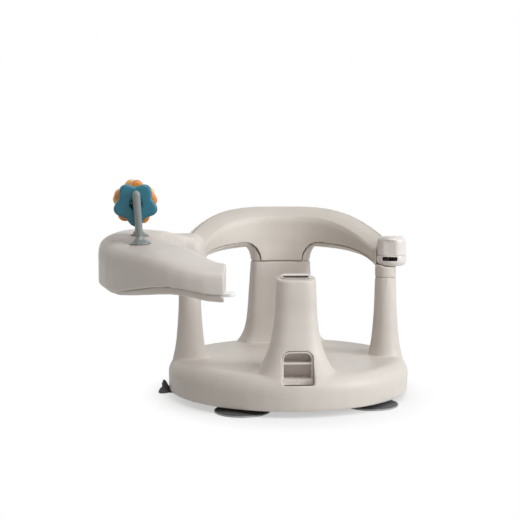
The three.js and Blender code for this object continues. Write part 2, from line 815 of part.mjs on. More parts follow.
// The angles of the liner's sections: even along the band, and close together round the neck's corner
function linerAngles(grow) {
  const corner = (linerNeckHalfWidth + linerNeckFillet) / bandInner;
  const neck = linerNeckHalfWidth / bandInner;
  const end = linerEnd + grow / bandInner;
  const outer = steps(9).map((share) => corner + (end - corner) * share);
  const curve = steps(6).slice(1, -1).map((share) => neck + (corner - neck) * (1 - cos((share * turn) / 4)));
  const inner = [0, neck / 2, neck];
  const half = [...inner, ...curve, ...outer];
  return [...half.slice(1).reverse().map((angle) => -angle), ...half];
}

function linerBody(front, back, grow) {
  return loft(linerAngles(grow).map((angle) => {
    const points = bandInsideShares.map((shares) => bandPoint(angle, shares));
    const [radius] = points[0];
    const foot = linerLow(angle) - grow;
    const lead = points[1][1];
    points[0] = [radius, min(foot, lead - wall)];
    const last = points.length - 1;
    const [end, before] = [points[last], points[last - 1]];
    const length = hypot(end[0] - before[0], end[1] - before[1]);
    const further = grow / length;
    points[last] = [
      end[0] + (end[0] - before[0]) * further, end[1] + (end[1] - before[1]) * further,
    ];
    const face = front ? offsetLine(points, front, false) : points;
    const rear = offsetLine(points, back, false).reverse();
    return [...face, ...rear].map((point) => around(angle, point));
  }));
}

// The drum's axis frame
function atLatch(body) {
  return shifted(body, latchX, latchY, 0);
}

function hingeFrame() {
  const up = new THREE.Vector3(hingeLeanX, hingeLeanY, 1).normalize();
  const matrix = new THREE.Matrix4().makeTranslation(-sideReach, sideSetback, hingeHeight);
  const lean = new THREE.Quaternion().setFromUnitVectors(new THREE.Vector3(0, 0, 1), up);
  return matrix.multiply(new THREE.Matrix4().makeRotationFromQuaternion(lean));
}

function atHinge(body) {
  return moved(body, hingeFrame());
}

// Room round the latch head and round the hinge's knuckle
function endClearances() {
  const drum = atLatch(disc(housingRadius + gap, housingLow - gap, bandTop, drumSegments));
  const knuckle = atHinge(disc(knuckleRadius + runningGap, 0, bandTop, drumSegments));
  return [drum, knuckle];
}

function sleeve(side, inset) {
  const end = side < 0 ? hingeHeight + wall : housingLow - gap;
  const top = inset ? housingLow - wall - gap : end;
  const low = sideTop + gap - (inset ? overrun : 0);
  const body = disc(sideTopRadius - inset, low, top, postSegments);
  return shifted(body, side * sideReach, sideSetback, 0);
}

// Plugs below the ring that stand in the columns
function sidePlug(side) {
  const outer = sideTopRadius - wall - gap;
  const seam = sideTop + gap;
  const body = turned([
    [outer - wall, sideTop - spigotLength], [outer, sideTop - spigotLength], [outer, seam],
    [outer + wall, seam], [outer + wall, seam + wall], [outer - wall, seam + wall],
    [outer - wall, sideTop - spigotLength],
  ], hollowSegments);
  return shifted(body, side * sideReach, sideSetback, 0);
}

function backPlug() {
  const make = (inset, low, high) => loft([low, high].map((height) => roundedRing(
    backHalfWidth - inset, backHalfDepth - inset, 4, hollowSegments,
  ).map(([u, v]) => bent(u, v, backRadius, height))));
  const outer = wall + gap;
  const low = backTop - spigotLength;
  const seam = backTop + gap;
  const plug = make(outer, low, seam + wall).add(make(wall / 2, seam, seam + wall));
  return plug.subtract(make(outer + wall, low - overrun, seam + wall + overrun));
}

function backrestShell() {
  const sides = [-1, 1];
  const outer = union([bandBody(0), neckBody(0), ...sides.map((side) => sleeve(side, 0))]);
  const hollows = [bandBody(wall), neckBody(wall), ...sides.map((side) => sleeve(side, wall))];
  const pocket = linerBody(-overrun, 2 * wall, gap);
  const pinHole = atHinge(disc(hingePinRadius + gap, -hingePinSink, wall, roundSegments));
  const spigotLow = housingLow - housingSpigotLength - gap;
  const spigotHole = atLatch(disc(housingSpigotRadius + gap, spigotLow, bandTop, roundSegments));
  const shell = cut(outer, hollows);
  const seats = sides.map((side) => {
    const seat = disc(sideTopRadius - wall / 2, housingLow - 2 * wall, housingLow + wall, postSegments);
    return shifted(seat, side * sideReach, sideSetback, 0);
  });
  const whole = union([shell, ...seats, ...sides.map(sidePlug), backPlug()]);
  return cut(whole, [...endClearances(), pinHole, spigotHole, pocket]);
}

function liner() {
  const below = atHinge(disc(knuckleRadius + runningGap, -knuckleCrown, bandTop, drumSegments));
  return cut(linerBody(0, wall, 0), [...endClearances(), below]);
}

// Latch head

function latchTurned(body) {
  return rotatedAbout(body, -latchHeading, latchX, latchY);
}

function housing() {
  const low = housingLow;
  const bowl = steps(4).map((share) => {
    const angle = (share * turn) / 4;
    return [housingFoot + (housingRadius - housingFoot) * sin(angle), low + housingBowl * (1 - cos(angle))];
  });
  const inside = bowl.map(([radius, height]) => [radius - housingWall, height + housingWall]).reverse();
  const rim = [[housingRadius, housingTop], [housingRadius - housingWall, housingTop]];
  const body = turned([[0, low], ...bowl, ...rim, ...inside, [0, low + housingWall]], drumSegments);
  const mouth = box(-slotMouthWidth / 2, slotMouthWidth / 2, -housingRadius - overrun, -housingRadius / 2,
    slotMouthMiddle - slotMouthHeight / 2, slotMouthMiddle + slotMouthHeight / 2);
  const boss = disc(2 * guideRadius, low + housingWall / 2, slotMouthMiddle - slotMouthHeight, 16);
  const spigot = disc(housingSpigotRadius, low - housingSpigotLength, low + housingWall / 2, 16);
  const bore = disc(guideRadius + gap, low - housingSpigotLength / 2, housingTop, 12);
  return latchTurned(cut(union([body, boss, spigot]), [mouth, bore]));
}

function knobFace() {
  const top = knobTop - knobFlatDrop;
  return box(-knobFlatHalfWidth, knobFlatHalfWidth, -2 * knobRadius, -knobFlat, housingTop + gap, top);
}

function knob() {
  const low = housingTop + gap;
  const inner = knobRadius - knobWall;
  const lip = housingRadius - housingWall - gap;
  const seat = knobTop - capThickness - gap;
  const ledge = capRadius - capLedge;
  const corner = steps(5).map((share) => {
    const angle = (share * turn) / 4;
    return [knobRadius - knobRound * (1 - cos(angle)), knobTop - knobRound * (1 - sin(angle))];
  });
  const skirt = turned([
    [inner, low - knobLip], [lip, low - knobLip], [lip, low], [knobRadius, low], ...corner,
    [capRadius + gap, knobTop], [capRadius + gap, seat], [ledge, seat], [ledge, seat - capThickness],
    [inner, knobTop - knobRound], [inner, low - knobLip],
  ], drumSegments);
  const web = hoop(guideRadius + gap, inner + knobWall / 2, knobWebHeight, knobWebHeight + knobWebThickness,
    drumSegments);
  return latchTurned(skirt.add(web).subtract(knobFace()));
}

function knobCap() {
  return latchTurned(disc(capRadius, knobTop - capThickness, knobTop, drumSegments));
}

function guideScrew() {
  const low = housingLow - housingSpigotLength / 2 + gap;
  return atLatch(turned([[0, low], [guideRadius, low], [guideRadius, guideHeadTop - guideHeadHeight],
    [guideHeadRadius, guideHeadTop - guideHeadHeight], [guideHeadRadius, guideHeadTop - guideHeadHeight / 3],
    [guideHeadRadius / 2, guideHeadTop], [0, guideHeadTop]], 12));
}

// An unbroken coil between the knob's web and the guide screw's head
function latchSpring() {
  const low = knobWebHeight + knobWebThickness + gap + springWire;
  const high = guideHeadTop - guideHeadHeight - gap - springWire;
  const path = steps(springTurns * springSteps).map((share) => {
    const angle = share * springTurns * turn;
    const height = low + (high - low) * share;
    return new THREE.Vector3(springRadius * cos(angle), springRadius * sin(angle), height);
  });
  const slope = (high - low) / (springTurns * turn * springRadius);
  return atLatch(loft(path.map((point) => {
    const out = new THREE.Vector3(point.x, point.y, 0).normalize();
    const along = new THREE.Vector3(-out.y, out.x, slope).normalize();
    const side = out.clone().cross(along);
    return Array.from({ length: springSides }, (_, i) => {
      const angle = (i / springSides) * turn;
      const offset = out.clone().multiplyScalar(springWire * cos(angle));
      return point.clone().add(offset).addScaledVector(side, springWire * sin(angle));
    });
  })));
}

// Hinge

function hingePin() {
  return atHinge(disc(hingePinRadius, -hingePinSink + gap, hingePinRise, roundSegments));
}

function hingeWasher() {
  return atHinge(hoop(hingePinRadius + gap, washerRadius, gap, gap + washerThickness, roundSegments));
}

// Tray

const trayStart = turn / 2;
const latchNormal = new THREE.Vector2(sin(latchHeading), cos(latchHeading));
const trayEndDistance = (housingRadius + gap) / cos(trayEndTurn);
const trayEndX = latchX - latchNormal.x * trayEndDistance;
const trayEndY = latchY - latchNormal.y * trayEndDistance;

// The angle on an oval where it meets the tray's end face
function ovalEnd(halfX, halfY) {
  const [a, b] = [halfX * latchNormal.x, halfY * latchNormal.y];
  const level = (trayEndX * latchNormal.x) + (trayEndY - sideSetback) * latchNormal.y;
  return turn + asin(level / hypot(a, b)) - atan2(a, b);
}

function ovalPoint(halfX, halfY, share, extra) {
  const angle = trayStart + (ovalEnd(halfX, halfY) - trayStart) * share + extra;
  return new THREE.Vector2(halfX * cos(angle), sideSetback + halfY * sin(angle));
}

function blend(from, to, share) {
  const s = max(0, min(1, share));
  return from + (to - from) * s * s * (3 - 2 * s);
}

// Heights along the tray, the same from the front to either end
function trayHeights(share) {
  const side = abs(2 * share - 1);
  const end = share < 1 / 2 ? trayHingeTop : trayEndTop;
  const top = blend(trayCrown, end, (side - crownFallStart) / (1 - crownFallStart));
  const rise = blend(seamCrown, seamArm, (side - seamRiseStart) / (seamRiseEnd - seamRiseStart));
  const seam = side < seamRiseEnd ? rise : blend(seamArm, seamEnd, (side - seamRiseEnd) / (1 - seamRiseEnd));
  const growth = (side - lipGrowthStart) / (lipGrowthEnd - lipGrowthStart);
  const lip = seam - lipHeight - blend(0, lipGrowth, growth);
  const underside = max(undersideLow, seam - lipHeight / 2);
  const fall = blend(0, outerFall, (share - 1 / 2) / outerFallGrowth);
  return { top, seam, lip, underside, fall };
}

function traySection(share, outline, extra = 0) {
  const inner = ovalPoint(trayInnerX, trayInnerY, share, extra);
  const outer = ovalPoint(trayOuterX, trayOuterY, share, extra);
  const width = inner.distanceTo(outer);
  return outline(width, trayHeights(share)).map(([across, height]) => {
    const point = inner.clone().lerp(outer, across / width);
    return new THREE.Vector3(point.x, point.y, height);
  });
}

function trayStations(outline, overEnd = 0) {
  const shares = steps(traySteps);
  return loft(shares.map((share, i) => traySection(share, outline, i === traySteps ? overEnd : 0)));
}

function trayOutside(width, { top, seam, underside, fall }) {
  const over = trayTopShares.map(([across, drop]) => {
    const slope = blend(0, fall, (across - fallStart) / (fallEnd - fallStart));
    return [width * across, top - crownThickness * drop - slope];
  });
  return [[0, underside], ...over, [width, seam]];
}

function trayInside(width, heights) {
  const line = trayOutside(width, heights);
  const inset = offsetLine(line, trayWall, false);
  inset[0] = [trayWall, heights.underside - overrun];
  inset[inset.length - 1] = [width - trayWall, min(heights.seam, heights.underside) - 2 * overrun];
  return inset;
}

// Everything past the tray's end face, moved by a distance along its normal, above a height
function pastTrayEnd(offset, low = 0) {
  const reach = 2 * sideReach;
  const block = box(-reach, reach, offset, reach, low, 2 * bandTop);
  return rotatedAbout(block, trayEndTurn - latchHeading, trayEndX, trayEndY);
}

function knuckleOutline(inset) {
  const top = knuckleTop - hingeHeight - inset;
  const low = inset ? -overrun : 2 * gap + washerThickness;
  const radius = knuckleRadius - inset;
  const crown = steps(4).map((share) => {
    const angle = (share * turn) / 4;
    return [radius - knuckleCrown * (1 - cos(angle)), top - knuckleCrown * (1 - sin(angle))];
  });
  return [[0, low], [radius, low], ...crown, [0, top]];
}

function knuckleBody(inset) {
  return atHinge(turned(knuckleOutline(inset), drumSegments));
}

function hingeBoss() {
  const outer = hingePinRadius + 2 * gap + hingeBossWall;
  const high = knuckleTop - hingeHeight - trayWall / 2;
  return atHinge(disc(outer, 2 * gap + washerThickness, high, roundSegments));
}

function toyFrame() {
  const matrix = new THREE.Matrix4().makeTranslation(toyX, toyY, trayCrown);
  matrix.multiply(new THREE.Matrix4().makeRotationZ(toyTurn));
  matrix.multiply(new THREE.Matrix4().makeRotationX(toyLean));
  return matrix.multiply(new THREE.Matrix4().makeTranslation(0, 0, -trayCrown));
}

function atToy(body, along = 0) {
  return moved(shifted(body, along, 0, 0), toyFrame());
}

const trayScrewShares = [0.12, 0.37, 0.66, 0.9];

function trayScrewPlace(share) {
  const inner = ovalPoint(trayInnerX, trayInnerY, share, 0);
  return inner.lerp(ovalPoint(trayOuterX, trayOuterY, share, 0), 0.5);
}

function trayScrewAt(share, body) {
  const place = trayScrewPlace(share);
  return shifted(body, place.x, place.y, trayHeights(share).underside);
}

const trayOuterSolid = trayStations(trayOutside, 4 * degree).subtract(pastTrayEnd(0)).add(knuckleBody(0));

function trayUpperShell() {
  const inside = trayStations(trayInside, 4 * degree).subtract(pastTrayEnd(-trayWall));
  const hollow = inside.add(knuckleBody(trayWall));
  const stud = disc(toyStudRadius + gap, toyFloor - toyStudLength, toyPostTop, screwSegments);
  const studs = [-1, 1].map((side) => atToy(stud, (side * toySpan) / 2));
  const boss = disc(bossRadius, 2 * wall, crownThickness, 12);
  const pilot = disc(screwShankRadius + gap, 0, screwLength, 8);
  const bosses = trayScrewShares.map((share) => trayScrewAt(share, boss));
  const pilots = trayScrewShares.map((share) => trayScrewAt(share, pilot));
  const shell = trayOuterSolid.subtract(hollow);
  const bore = atHinge(disc(hingePinRadius + gap, -overrun, hingePinRise + gap, roundSegments));
  const whole = union([shell, hingeBoss(), ...bosses.map((boss) => boss.intersect(trayOuterSolid))]);
  return cut(whole, [bore, ...studs, ...pilots, tongueSolid(gap)]);
}

// The cover: a plate between the shell's walls, and a rim below the shell's outer edge
function coverPlate(width, { underside }) {
  const [inner, outer] = [trayWall + gap, width - trayWall - gap];
  const top = underside + trayWall;
  return [[inner, underside], [outer, underside], [outer, top], [inner, top]];
}

function coverRim(width, { seam, lip, underside }) {
  const edge = width - lipInset;
  const top = max(underside + trayWall, seam + wall);
  return [
    [edge - 2 * lipWidth, top], [edge - 2 * lipWidth, lip],
    [edge - lipWidth, lip], [edge, lip + lipWidth], [edge, top],
  ];
}

function trayCover() {
  const start = trayHeights(0).underside;
  const low = 2 * gap + washerThickness;
  const lidTop = start + trayWall - hingeHeight;
  const lid = atHinge(disc(knuckleRadius - trayWall - gap, low, lidTop, drumSegments));
  const aroundTop = knuckleTop - hingeHeight;
  const around = atHinge(disc(knuckleRadius + runningGap, -knuckleCrown, aroundTop, drumSegments));
  const rim = trayStations(coverRim, 4 * degree).subtract(around);
  const plate = trayStations(coverPlate, 4 * degree);
  const bossRoom = hingePinRadius + 3 * gap + hingeBossWall;
  const bossHole = atHinge(disc(bossRoom, -overrun, knuckleTop, roundSegments));
  const shanks = trayScrewShares.map((share) => trayScrewAt(share,
    disc(screwShankRadius + gap, -overrun, screwLength, screwSegments)));
  const heads = trayScrewShares.map((share) => trayScrewAt(share,
    disc(trayScrewRadius + gap, -overrun, screwHeadHeight / 2 + gap, holeSegments)));
  const end = pastTrayEnd(-trayWall - gap, trayHeights(1).underside - gap);
  const holes = [end, bossHole, ...shanks, ...heads, tongueSolid(gap)];
  return cut(union([plate, rim, lid]), [pastTrayEnd(-gap), ...holes]);
}

function tongueSolid(grow) {
  const shape = new THREE.Shape();
  const half = tongueHalfWidth + grow;
  const tip = tongueReach + grow;
  shape.moveTo(-half, -tongueRoot - grow);
  shape.lineTo(half, -tongueRoot - grow);
  shape.absarc(0, tip - half, half, 0, turn / 2, false);
  const low = tongueMiddle - tongueThickness / 2 - grow;
  const tongue = slab(shape, low, tongueMiddle + tongueThickness / 2 + grow);
  return rotatedAbout(tongue, -latchHeading, trayEndX, trayEndY);
}

function toyPost(side) {
  const along = (side * toySpan) / 2;
  const floor = toyFloor - wall;
  const dome = steps(3).map((share) => {
    const angle = (share * turn) / 4;
    return [toyPostRadius * cos(angle), toyPostTop - toyPostRadius * (1 - sin(angle))];
  });
  const foot = toyFloor + toyPlateHeight;
  const body = turned([[0, floor], [toyFootRadius, floor], [toyFootRadius, foot],
    [toyPostFoot + (toyFootRadius - toyPostFoot) / 3, foot + toyFootHeight / 2],
    [toyPostFoot, foot + toyFootHeight], ...dome], 14);
  const bore = moved(disc(toyPinRadius + gap, -toyPostRadius / 2, toySpan / 2, 12),
    new THREE.Matrix4().makeRotationY((-side * turn) / 4).setPosition(0, toyAxleOffset, toyAxleHeight));
  const stud = disc(toyStudRadius, toyFloor - toyStudLength, toyFloor + toyFootHeight, screwSegments);
  const raised = shifted(trayOuterSolid, 0, 0, gap);
  const seated = atToy(body.subtract(bore), along).subtract(raised);
  return seated.add(atToy(stud, along));
}

function toyNut(side) {
  const body = hoop(toyStudRadius + gap, toyNutRadius, toyFloor - toyStudLength + gap,
    toyFloor - toyStudLength + gap + toyNutHeight, screwSegments);
  return atToy(body, (side * toySpan) / 2);
}

function toyAxle() {
  const half = toySpan / 2;
  const pin = half + toyPostRadius / 2 - gap;
  const shoulder = half - toyPostRadius - gap;
  const thin = toyPinRadius;
  const body = turned([
    [0, -pin], [thin, -pin], [thin, -shoulder], [toyAxleRadius, -shoulder],
    [toyAxleRadius, shoulder], [thin, shoulder], [thin, pin], [0, pin],
  ], 16);
  const lying = new THREE.Matrix4().makeRotationY(turn / 4).setPosition(0, toyAxleOffset, toyAxleHeight);
  return atToy(moved(body, lying));
}

function flower(index, phase) {
  const shape = new THREE.Shape(Array.from({ length: flowerPoints }, (_, i) => {
    const angle = (i / flowerPoints) * turn;
    const wave = ((1 + cos(flowerLobes * (angle - phase))) / 2) ** flowerRoundness;
    const radius = flowerValley + (flowerRadius - flowerValley) * wave - flowerBevel;
    return new THREE.Vector2(radius * cos(angle), radius * sin(angle));
  }));
  const bore = new THREE.Path().absarc(0, 0, flowerBore + flowerBevel, 0, turn, true);
  shape.holes.push(bore);
  const geometry = new THREE.ExtrudeGeometry(shape, {
    depth: flowerThickness - 2 * flowerBevel, bevelEnabled: true, bevelThickness: flowerBevel,
    bevelSize: flowerBevel, bevelOffset: 0, bevelSegments: 2, curveSegments: 8,
  });
  geometry.translate(0, 0, flowerBevel - flowerThickness / 2);
  const place = (index - (flowerCount - 1) / 2) * (flowerThickness + flowerGap);
  const upright = new THREE.Matrix4().makeRotationY(turn / 4);
  upright.setPosition(place, toyAxleOffset, toyAxleHeight);
  return atToy(moved(solid(geometry), upright));
}

// Assembly

addPiece('base_shell', baseShell(), plastic('shell'));
addPiece('base_underside_cover', undersideCover(), plastic('cover'));
cupAngles.forEach((_, i) => addPiece(`suction_cup_${i + 1}`, suctionCup(i), plastic('rubber')));
const coverScrew = screw(screwHeadRadius, screwHeadHeight, screwShankRadius, screwLength);
eachCoverScrew(() => shifted(coverScrew, 0, 0, gap / 2))
  .forEach((body, i) => addPiece(`base_screw_${i + 1}`, body, steel));
addPiece('pommel_slot_bezel', slotBezel(), plastic('frame'));
addPiece('pommel_window_frame', windowInsert(), plastic('frame'));
addPiece('backrest_shell', backrestShell(), plastic('shell'));
addPiece('backrest_liner', liner(), plastic('liner'));
addPiece('latch_housing', housing(), plastic('frame'));
addPiece('latch_knob', knob(), plastic('frame'));
addPiece('latch_knob_cap', knobCap(), plastic('frame'));
addPiece('latch_guide_screw', guideScrew(), steel);
addPiece('latch_spring', latchSpring(), steel);
addPiece('hinge_pin', hingePin(), steel);
addPiece('hinge_washer', hingeWasher(), plastic('tongue'));
addPiece('tray_upper_shell', trayUpperShell(), plastic('tray'), tray);
addPiece('tray_cover', trayCover(), plastic('cover'), tray);
addPiece('tray_tongue', tongueSolid(0), plastic('tongue'), tray);
trayScrewShares.forEach((share, i) => addPiece(
  `tray_screw_${i + 1}`,
  trayScrewAt(share, screw(trayScrewRadius, screwHeadHeight / 2, screwShankRadius, screwLength - gap)),
  steel,
  tray,
));
[-1, 1].forEach((side) => {
  const label = side < 0 ? 'left' : 'right';
  addPiece(`toy_post_${label}`, toyPost(side), plastic('grey'), tray);
  addPiece(`toy_nut_${label}`, toyNut(side), steel, tray);
});
addPiece('toy_axle', toyAxle(), plastic('grey'), tray);
const flowers = [['yellow', 0.84], ['red', 0.5], ['orange', 0.5], ['teal', 0]];
flowers.forEach(([color, phase], i) => addPiece(
  `toy_flower_${color}`,
  flower(i, phase),
  plastic(color),
  tray,
));

// The tray stands open, as far as it goes
const pivot = new THREE.Vector3(-sideReach, sideSetback, hingeHeight);
const lean = new THREE.Vector3(hingeLeanX, hingeLeanY, 1).normalize();
tray.quaternion.setFromAxisAngle(lean, -openAngle);
tray.position.copy(pivot.clone().sub(pivot.clone().applyQuaternion(tray.quaternion)));

export default seat;
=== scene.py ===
"""Baby bath seat: a round base with three posts and a pommel, a curved backrest, a swing tray
with a toy, a latch and five suction cups. Lengths are in metres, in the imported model's frame."""

import json
import math

import bmesh
import bpy
import numpy as np
from mathutils import Matrix, Vector


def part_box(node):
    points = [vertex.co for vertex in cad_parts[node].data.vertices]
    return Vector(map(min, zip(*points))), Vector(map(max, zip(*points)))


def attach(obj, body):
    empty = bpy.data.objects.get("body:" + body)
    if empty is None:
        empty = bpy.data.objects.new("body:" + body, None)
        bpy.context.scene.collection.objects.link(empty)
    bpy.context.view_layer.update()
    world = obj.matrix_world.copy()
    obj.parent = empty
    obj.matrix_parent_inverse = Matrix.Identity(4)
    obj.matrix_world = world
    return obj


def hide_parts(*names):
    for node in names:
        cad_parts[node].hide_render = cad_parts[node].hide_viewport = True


MM = 0.001
WHITE = (1.0, 1.0, 1.0, 1.0)
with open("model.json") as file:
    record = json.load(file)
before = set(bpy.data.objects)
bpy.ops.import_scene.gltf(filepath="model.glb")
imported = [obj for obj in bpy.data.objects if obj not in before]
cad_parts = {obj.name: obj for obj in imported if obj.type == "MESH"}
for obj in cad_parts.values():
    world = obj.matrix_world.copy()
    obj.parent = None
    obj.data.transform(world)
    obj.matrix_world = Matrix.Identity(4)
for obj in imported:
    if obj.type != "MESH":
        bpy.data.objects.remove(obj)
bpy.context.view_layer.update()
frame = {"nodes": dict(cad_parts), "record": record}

# Node trees


class Wire:
    """A node's output, with operators that add Math nodes."""

    def __init__(self, graph, socket):
        self.graph = graph
        self.socket = socket

    def _math(self, operation, *values):
        return self.graph.add("ShaderNodeMath", {"operation": operation}, dict(enumerate(values)))

    def __add__(self, other):
        return self._math("ADD", self, other)

    def __sub__(self, other):
        return self._math("SUBTRACT", self, other)

    def __rsub__(self, other):
        return self._math("SUBTRACT", other, self)

    def __mul__(self, other):
        return self._math("MULTIPLY", self, other)

    def __truediv__(self, other):
        return self._math("DIVIDE", self, other)

    def __pow__(self, other):
        return self._math("POWER", self, other)

    def at_least(self, other):
        return self._math("MAXIMUM", self, other)

    def at_most(self, other):
        return self._math("MINIMUM", self, other)

    def clamped(self):
        return self.at_least(0.0).at_most(1.0)

    def cosine(self):
        return self._math("COSINE", self)

    def sine(self):
        return self._math("SINE", self)

    def signed_power(self, other):
        """The power of the size, with the sign kept."""
        return self._math("SIGN", self) * self._math("ABSOLUTE", self) ** other


class Graph:
    """A node tree under construction."""

    def add(self, kind, settings=None, sockets=None, output=0):
        """One output of a new node. A socket takes a value, a wire or a list of wires."""
        node = self.tree.nodes.new(kind)
        for key, value in (settings or {}).items():
            setattr(node, key, value)
        for key, value in (sockets or {}).items():
            if isinstance(value, list):
                for wire in value:
                    self.tree.links.new(wire.socket, node.inputs[key])
            elif isinstance(value, Wire):
                self.tree.links.new(value.socket, node.inputs[key])
            else:
                node.inputs[key].default_value = value
        return Wire(self, node.outputs[output])

    def parts(self, vector):
        split = self.tree.nodes.new("ShaderNodeSeparateXYZ")
        self.tree.links.new(vector.socket, split.inputs["Vector"])
        return [Wire(self, socket) for socket in split.outputs]

    def joined(self, *values):
        return self.add("ShaderNodeCombineXYZ", None, dict(enumerate(values)))


class Finish(Graph):
    """A material and its node tree."""

    def __init__(self, name):
        self.material = bpy.data.materials.new(name)
        self.material.use_nodes = True
        self.tree = self.material.node_tree
        self.tree.nodes.clear()
        self.coordinates = self.add("ShaderNodeTexCoord", output="Object")

    def noise(self, scale, detail, roughness, stretch=None):
        place = self.coordinates
        if stretch:
            place = self.add("ShaderNodeMapping", None, {"Vector": place, "Scale": stretch})
        return self.add("ShaderNodeTexNoise", None, {
            "Vector": place, "Scale": scale, "Detail": detail, "Roughness": roughness,
        }, output="Fac")

    def step(self, value, low, high):
        """0 below low and 1 above high, smooth between them."""
        return self.add("ShaderNodeMapRange", {"interpolation_type": "SMOOTHSTEP"},
                        {"Value": value, "From Min": low, "From Max": high})

    def tint(self, base, over, amount):
        """Mixes two colours, each plain or a wire, by a wire."""
        node = self.tree.nodes.new("ShaderNodeMix")
        node.data_type = "RGBA"
        for key, value in (("A", base), ("B", over)):
            socket = next(s for s in node.inputs if s.name == key and s.type == "RGBA")
            if isinstance(value, Wire):
                self.tree.links.new(value.socket, socket)
            else:
                socket.default_value = value
        factor = next(s for s in node.inputs if s.name == "Factor" and s.type == "VALUE")
        self.tree.links.new(amount.socket, factor)
        return Wire(self, next(s for s in node.outputs if s.type == "RGBA"))

    def bump(self, height, distance, strength, normal=None):
        sockets = {"Height": height, "Distance": distance, "Strength": strength}
        if normal:
            sockets["Normal"] = normal
        return self.add("ShaderNodeBump", None, sockets)

    def close(self, shader):
        out = self.tree.nodes.new("ShaderNodeOutputMaterial")
        self.tree.links.new(shader.socket, out.inputs["Surface"])
        return self.material


class Rule(Graph):
    """A Geometry Nodes tree with named inputs for its sizes."""

    def __init__(self, name):
        self.tree = bpy.data.node_groups.new(name, "GeometryNodeTree")
        self.tree.interface.new_socket(
            "Geometry", in_out="OUTPUT", socket_type="NodeSocketGeometry")
        self.keys = {}
        self.source = self.tree.nodes.new("NodeGroupInput")
        self.geometry = self.size("Geometry", "Geometry")
        self.place = self.add("GeometryNodeInputPosition")

    def size(self, name, kind="Float"):
        socket = self.tree.interface.new_socket(
            name, in_out="INPUT", socket_type="NodeSocket" + kind)
        self.keys[name] = socket.identifier
        return Wire(self, self.source.outputs[name])

    def put(self, geometry, *values):
        """The geometry with its points at these coordinates."""
        return self.add("GeometryNodeSetPosition", None,
                        {"Geometry": geometry, "Position": self.joined(*values)})

    def moved_up(self, geometry, rise):
        return self.add("GeometryNodeTransform", None,
                        {"Geometry": geometry, "Translation": self.joined(0.0, 0.0, rise)})

    def close(self, geometry):
        real = self.add("GeometryNodeRealizeInstances", None, {"Geometry": geometry})
        done = self.add("GeometryNodeSetMaterial", None,
                        {"Geometry": real, "Material": self.size("Material", "Material")})
        out = self.tree.nodes.new("NodeGroupOutput")
        self.tree.links.new(done.socket, out.inputs[0])
        return self


# Finishes


def linear(code):
    """A display colour such as "c9c0b8" as linear light, by the curve of sRGB."""
    values = [int(code[i:i + 2], 16) / 255 for i in (0, 2, 4)]
    light = [v / 12.92 if v <= 0.04045 else ((v + 0.055) / 1.055) ** 2.4 for v in values]
    return (*light, 1.0)


def shaded(color, factor):
    return (*(min(1.0, c * factor) for c in color[:3]), 1.0)


def moulded(name, code, roughness=0.42, grain=0.5, coat=0.0):
    """Injection moulded plastic: a fine spark-eroded grain, faint flow marks and clouds, and a
    few spots that rubbing has polished."""
    f = Finish(name)
    color = linear(code)
    cloud_tint, cloud_dulling, rub_shine = 0.35, 0.07, 0.08
    flow = f.noise(scale=9.0, detail=3.0, roughness=0.55, stretch=(1.0, 1.0, 2.2))
    cloud = f.noise(scale=34.0, detail=3.0, roughness=0.6)
    pepper = f.noise(scale=2600.0, detail=2.0, roughness=0.6)
    swell = f.noise(scale=60.0, detail=2.0, roughness=0.5)
    rubbing = f.noise(scale=14.0, detail=4.0, roughness=0.6)
    dark, pale, clouded = (shaded(color, factor) for factor in (0.965, 1.03, 0.94))
    tone = f.tint(dark, pale, f.step(flow, low=0.35, high=0.65))
    cover = (f.step(cloud, low=0.55, high=0.75) * cloud_tint).clamped()
    tone = f.tint(tone, clouded, cover)
    dull = f.step(cloud, low=0.3, high=0.7)
    rubbed = f.step(rubbing, low=0.52, high=0.7)
    rough = (dull * cloud_dulling + roughness - rubbed * rub_shine).clamped()
    fine = f.bump(pepper, distance=0.00012, strength=grain)
    wave = f.bump(swell, distance=0.0006, strength=0.10, normal=fine)
    return f.close(f.add("ShaderNodeBsdfPrincipled", None, {
        "Base Color": tone, "Roughness": rough, "Normal": wave, "IOR": 1.49,
        "Coat Weight": coat, "Coat Roughness": 0.2,
    }))


def rubber(name, code, rim_light_code):
    """Soft moulded rubber: dull, with faint mould bloom, and paler where painted light stands for
    the light that the thin rim near the floor lets in."""
    f = Finish(name)
    color = linear(code)
    bloom_tint, bloom_dulling, plain_roughness = 0.4, 0.15, 0.5
    bloom = f.step(f.noise(scale=55.0, detail=4.0, roughness=0.65), low=0.45, high=0.7)
    tone = f.tint(color, shaded(color, 1.25), bloom * bloom_tint)
    _, _, height = f.parts(f.coordinates)
    # Painted light: below this height the thin rim near the floor is painted in a paler colour.
    painted_rim_light = 1.0 - f.step(height, low=-0.0071, high=-0.0058)
    tone = f.tint(tone, linear(rim_light_code), painted_rim_light)
    rough = (bloom * bloom_dulling + plain_roughness).clamped()
    pores = f.noise(scale=900.0, detail=2.0, roughness=0.5)
    return f.close(f.add("ShaderNodeBsdfPrincipled", None, {
        "Base Color": tone, "Roughness": rough, "IOR": 1.45,
        "Normal": f.bump(pores, distance=0.0001, strength=0.5),
    }))


def steel(name, dull, bright):
    """Plain steel, faintly brushed."""
    f = Finish(name)
    brush_dulling, plain_roughness = 0.12, 0.24
    brush = f.noise(scale=700.0, detail=3.0, roughness=0.6, stretch=(1.0, 1.0, 0.06))
    mark = f.step(brush, low=0.3, high=0.7)
    return f.close(f.add("ShaderNodeBsdfPrincipled", None, {
        "Base Color": f.tint(linear(dull), linear(bright), mark),
        "Roughness": (mark * brush_dulling + plain_roughness).clamped(), "Metallic": 1.0,
        "Normal": f.bump(brush, distance=0.00003, strength=0.4),
    }))


